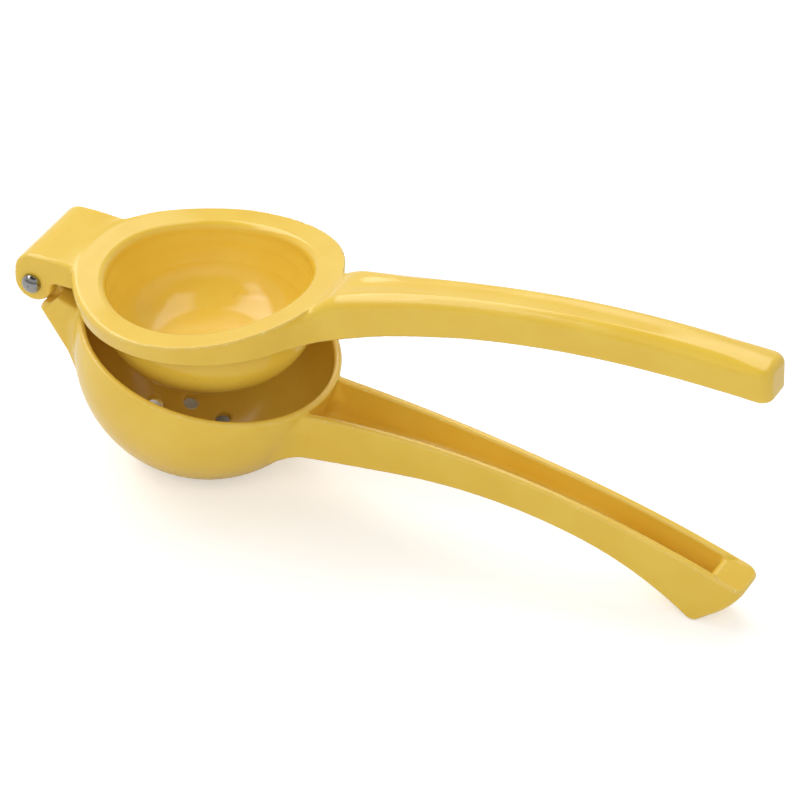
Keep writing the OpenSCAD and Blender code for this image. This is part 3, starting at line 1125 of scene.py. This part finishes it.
@dataclass(frozen=True)
class Lamp:
    """One soft rectangular lamp that faces the squeezer. A radiance of 1 is as bright as white paint."""

    name: str
    at: Triple
    along: Triple
    size: Point
    radiance: float
    mirrored: bool = True
    aim: Triple = (0.0, 0.0, 0.04)

    def build(self) -> None:
        """The lamp: its power is radiance times pi times area, and its first side lies nearly along."""
        data = bpy.data.lights.new(self.name, "AREA")
        data.shape = "RECTANGLE"
        data.size, data.size_y = self.size
        data.energy = self.radiance * math.pi * self.size[0] * self.size[1]
        lamp = bpy.data.objects.new(self.name, data)
        lamp.visible_glossy = self.mirrored
        out = (Vector(self.at) - Vector(self.aim)).normalized()
        first = Vector(self.along) - Vector(self.along).dot(out) * out
        first.normalize()
        turn = Matrix((first, out.cross(first), out)).transposed().to_4x4()
        lamp.matrix_world = Matrix.Translation(self.at) @ turn
        bpy.context.scene.collection.objects.link(lamp)


@dataclass
class Studio:
    """A white table, soft light from above, and the camera. Angles are in degrees, lengths in metres."""

    camera_at: Triple = (0.56474105, -1.06061933, 0.84893819)
    camera_turn: float = 25.5407072
    camera_dip: float = 34.6414448
    camera_roll: float = 1.7984330
    focal: float = 241.70
    behind: Triple = (-0.43, 0.90, 0.0)
    low: Point = (0.4, 0.82)
    middle: Point = (0.7, 0.5)
    high: float = 0.12
    table_half: float = 6.0
    table_white: float = 0.85
    table_glow: float = 0.4
    # A painted contact shadow: a grey spot on the table just under the bowl, fading out between the two
    # reaches.
    painted_shadow_colour: Triple = (0.19, 0.155, 0.11)
    painted_shadow_at: Triple = (-0.012, 0.014, 0.0)
    painted_shadow_reach: Point = (0.007, 0.026)
    lamps: tuple[Lamp, ...] = (
        Lamp("softbox_left", (0.0, 0.62, 1.1), (-0.53, 0.85, 0.0), (1.3, 0.42), 2.1),
        Lamp("softbox_right", (-0.87, 0.42, 1.1), (-0.2, 0.98, 0.0), (1.35, 0.62), 3.2),
        Lamp("fill_left", (-0.85, -0.45, 1.2), (0.35, -0.94, 0.0), (0.85, 0.4), 2.5),
        Lamp("fill_front", (0.6, -1.2, 1.1), (0.85, 0.5, 0.0), (1.4, 0.9), 2.0, mirrored=False),
    )

    def camera(self) -> None:
        """The camera: level and looking to the far side, then rolled, dipped and turned to the left."""
        data = bpy.data.cameras.new("camera")
        data.sensor_width = 36
        data.lens = self.focal
        data.clip_end = 20
        eye = bpy.data.objects.new("camera", data)
        turn = Matrix.Rotation(math.radians(self.camera_turn), 4, "Z")
        dip = Matrix.Rotation(math.radians(90 - self.camera_dip), 4, "X")
        roll = Matrix.Rotation(math.radians(self.camera_roll), 4, "Z")
        eye.matrix_world = Matrix.Translation(self.camera_at) @ turn @ dip @ roll
        bpy.context.scene.collection.objects.link(eye)
        bpy.context.scene.camera = eye

    def world(self) -> None:
        """Soft light by height and side, dimmest overhead. The camera sees plain white instead."""
        world = bpy.data.worlds.new("studio")
        bpy.context.scene.world = world
        world.use_nodes = True
        tree = world.node_tree
        back = tree.nodes["Background"]
        back.inputs["Color"].default_value = (1, 1, 1, 1)
        place = node(tree, "ShaderNodeTexCoord")
        height = node(tree, "ShaderNodeSeparateXYZ")
        side = node(tree, "ShaderNodeVectorMath", operation="DOT_PRODUCT", inputs={1: self.behind})
        tree.links.new(place.outputs["Generated"], height.inputs[0])
        tree.links.new(place.outputs["Generated"], side.inputs[0])
        low = band(tree, side.outputs["Value"], -0.25, 0.25, self.low)
        middle = band(tree, side.outputs["Value"], -0.25, 0.25, self.middle)
        up = band(tree, height.outputs["Z"], 0.36, 0.48, (0.0, 1.0))
        top = band(tree, height.outputs["Z"], 0.68, 0.82, (0.0, 1.0))
        path = node(tree, "ShaderNodeLightPath")
        light = mixed(tree, top, mixed(tree, up, low, middle), self.high)
        seen = mixed(tree, path.outputs["Is Camera Ray"], light, 1.0)
        tree.links.new(seen, back.inputs["Strength"])

    def table(self) -> None:
        """The white table, which takes the shadow, with a painted contact shadow under the bowl."""
        s = self.table_half
        mesh = bpy.data.meshes.new("table")
        mesh.from_pydata([(-s, -s, 0), (s, -s, 0), (s, s, 0), (-s, s, 0)], [], [(0, 1, 2, 3)])
        floor = bpy.data.objects.new("table", mesh)
        bpy.context.scene.collection.objects.link(floor)
        mesh.materials.append(self.table_paint())

    def table_paint(self) -> bpy.types.Material:
        """The table's paint: a painted contact shadow, grey just below the bowl where its glow fades too, and
        white beyond, where it glows for the camera.

        Returns:
            bpy.types.Material: The finished material.
        """
        mat = bpy.data.materials.new("white_table_with_painted_shadow")
        mat.use_nodes = True
        tree = mat.node_tree
        shader = tree.nodes["Principled BSDF"]
        shader.inputs["Roughness"].default_value = 0.9
        shader.inputs["Specular IOR Level"].default_value = 0.0
        shader.inputs["Emission Color"].default_value = (1, 1, 1, 1)
        path = node(tree, "ShaderNodeLightPath")
        place = node(tree, "ShaderNodeTexCoord")
        # Painted contact shadow: near the spot under the bowl the table turns grey and its glow for the
        # camera fades out.
        away = node(tree, "ShaderNodeVectorMath", operation="DISTANCE", inputs={1: self.painted_shadow_at})
        tree.links.new(place.outputs["Object"], away.inputs[0])
        far = band(tree, away.outputs["Value"], *self.painted_shadow_reach, (0.0, 1.0))
        pale = node(tree, "ShaderNodeMix", data_type="RGBA")
        pale.inputs["A"].default_value = (*self.painted_shadow_colour, 1)
        pale.inputs["B"].default_value = (self.table_white, self.table_white, self.table_white, 1)
        glow = node(tree, "ShaderNodeMath", operation="MULTIPLY")
        level = node(tree, "ShaderNodeMath", operation="MULTIPLY", inputs={1: self.table_glow})
        tree.links.new(far, pale.inputs["Factor"])
        tree.links.new(far, glow.inputs[1])
        wire(tree, [
            (pale, "Result", shader, "Base Color"), (path, "Is Camera Ray", glow, 0),
            (glow, "Value", level, 0), (level, "Value", shader, "Emission Strength"),
        ])
        return mat

    def build(self) -> None:
        """The table, the light and the camera, in that order."""
        self.table()
        self.world()
        for lamp in self.lamps:
            lamp.build()
        self.camera()
        bpy.context.scene.view_settings.view_transform = "Standard"


def main() -> None:
    """Builds the squeezer's pieces in order, dresses them and sets the studio."""
    logging.basicConfig(level=logging.INFO, format="%(name)s: %(message)s")
    group = cast_surface_group()
    yellow = Finish.YELLOW.value.material(group)
    for arm in (BowlArm(), PressArm()):
        piece = arm.build()
        piece.data.materials.append(yellow)
        LOG.info("%s: %d points, %d faces", piece.name, len(piece.data.vertices), len(piece.data.polygons))
    rivet = HingeRivet()
    piece = rivet.build()
    piece.data.materials.append(Finish.STEEL.value.material(rivet.rest.pin()))
    LOG.info("%s: %d points", piece.name, len(piece.data.vertices))
    Studio().build()


if __name__ == "__main__":
    main()
